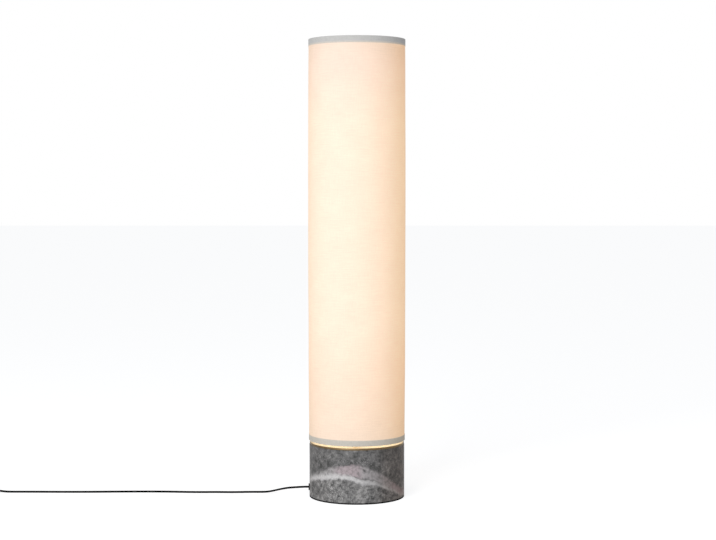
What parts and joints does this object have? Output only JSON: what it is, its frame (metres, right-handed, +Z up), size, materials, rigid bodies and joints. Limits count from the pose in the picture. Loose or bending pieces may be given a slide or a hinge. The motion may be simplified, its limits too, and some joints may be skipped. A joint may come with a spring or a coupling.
{
  "type": "column floor lamp",
  "caption": "Column floor lamp: a tall cylindrical linen shade, bound in grey tape, over a brass plate on a round marble base, with a flat black cord.",
  "frame": {"origin": "middle of the pad's underside, on the floor", "axes": "+Z up along the stem; the cord leaves the base towards -X; the pictured side faces -Y"},
  "size_m": [0.9045, 0.1688, 0.8],
  "materials": {
    "foam_pad": "matt closed-cell foam",
    "marble": "polished dark grey marble with a pale vein",
    "zinc_steel": "zinc plated",
    "brass": "brushed brass",
    "contact_brass": "stamped brass",
    "white_enamel": "white powder coat",
    "holder_plastic": "moulded white",
    "wire_sheath": "smooth insulation",
    "cap_metal": "bright nickel",
    "opal_globe": "opal, lit from inside",
    "linen": "natural linen, lit from inside",
    "liner_film": "translucent film",
    "grey_tape": "woven bias tape",
    "black_rubber": "smooth black",
    "black_plastic": "moulded black",
    "pin_metal": "nickel plated"
  },
  "bodies": {
    "base": {"base_pad": "foam_pad", "marble_base": "marble", "bottom_cover": "zinc_steel", "cover_screws": "zinc_steel", "stem_washer": "zinc_steel", "lower_nut": "zinc_steel", "clamp_screws": "zinc_steel", "terminal_screws": "zinc_steel", "switch_screws": "zinc_steel", "cover_inserts": "brass", "brass_plate": "brass", "stem_tube": "brass", "upper_nut": "brass", "shade_seat": "brass", "contacts_1": "contact_brass", "contacts_2": "contact_brass", "contacts_3": "contact_brass", "switch_contacts": "contact_brass", "lamp_arm_1": "white_enamel", "lamp_arm_2": "white_enamel", "lamp_arm_3": "white_enamel", "lampholder_1": "holder_plastic", "lampholder_2": "holder_plastic", "lampholder_3": "holder_plastic", "terminal_block": "holder_plastic", "wires_1": "wire_sheath", "wires_2": "wire_sheath", "wires_3": "wire_sheath", "cord_gland": "black_rubber", "inner_cord": "black_rubber", "cord_run": "black_rubber", "cord_link": "black_rubber", "cord_coil": "black_rubber", "cord_tail": "black_rubber", "coil_tie": "black_rubber", "cord_clamp": "black_plastic", "clamp_bar": "black_plastic", "switch_base": "black_plastic", "switch_cover": "black_plastic", "plug_body": "black_plastic", "plug_pins": "pin_metal"},
    "shade": {"shade_fabric": "linen", "shade_liner": "liner_film", "top_frame": "white_enamel", "bottom_ring": "white_enamel", "top_trim": "grey_tape", "bottom_trim": "grey_tape"},
    "finial": {"finial": "brass"},
    "bulb_1": {"bulb_cap_1": "cap_metal", "bulb_globe_1": "opal_globe"},
    "bulb_2": {"bulb_cap_2": "cap_metal", "bulb_globe_2": "opal_globe"},
    "bulb_3": {"bulb_cap_3": "cap_metal", "bulb_globe_3": "opal_globe"},
    "rocker": {"switch_rocker": "black_plastic"}
  },
  "joints": [
    {"name": "shade_lift", "type": "slide", "parent": "base", "child": "shade", "axis": [0, 0, 1], "range_m": [0, 0.7]},
    {"name": "finial_off", "type": "slide", "parent": "shade", "child": "finial", "axis": [0, 0, 1], "range_m": [0, 0.02]},
    {"name": "bulb_1_out", "type": "slide", "parent": "base", "child": "bulb_1", "axis": [0, 0, 1], "range_m": [0, 0.03]},
    {"name": "bulb_2_out", "type": "slide", "parent": "base", "child": "bulb_2", "axis": [0, 0, 1], "range_m": [0, 0.03]},
    {"name": "bulb_3_out", "type": "slide", "parent": "base", "child": "bulb_3", "axis": [0, 0, 1], "range_m": [0, 0.03]},
    {"name": "rocker_tilt", "type": "hinge", "parent": "base", "child": "rocker", "pos_m": [-0.7, 0.026, 0.014], "axis": [0, 1, 0], "range_deg": [0, 16]}
  ]
}
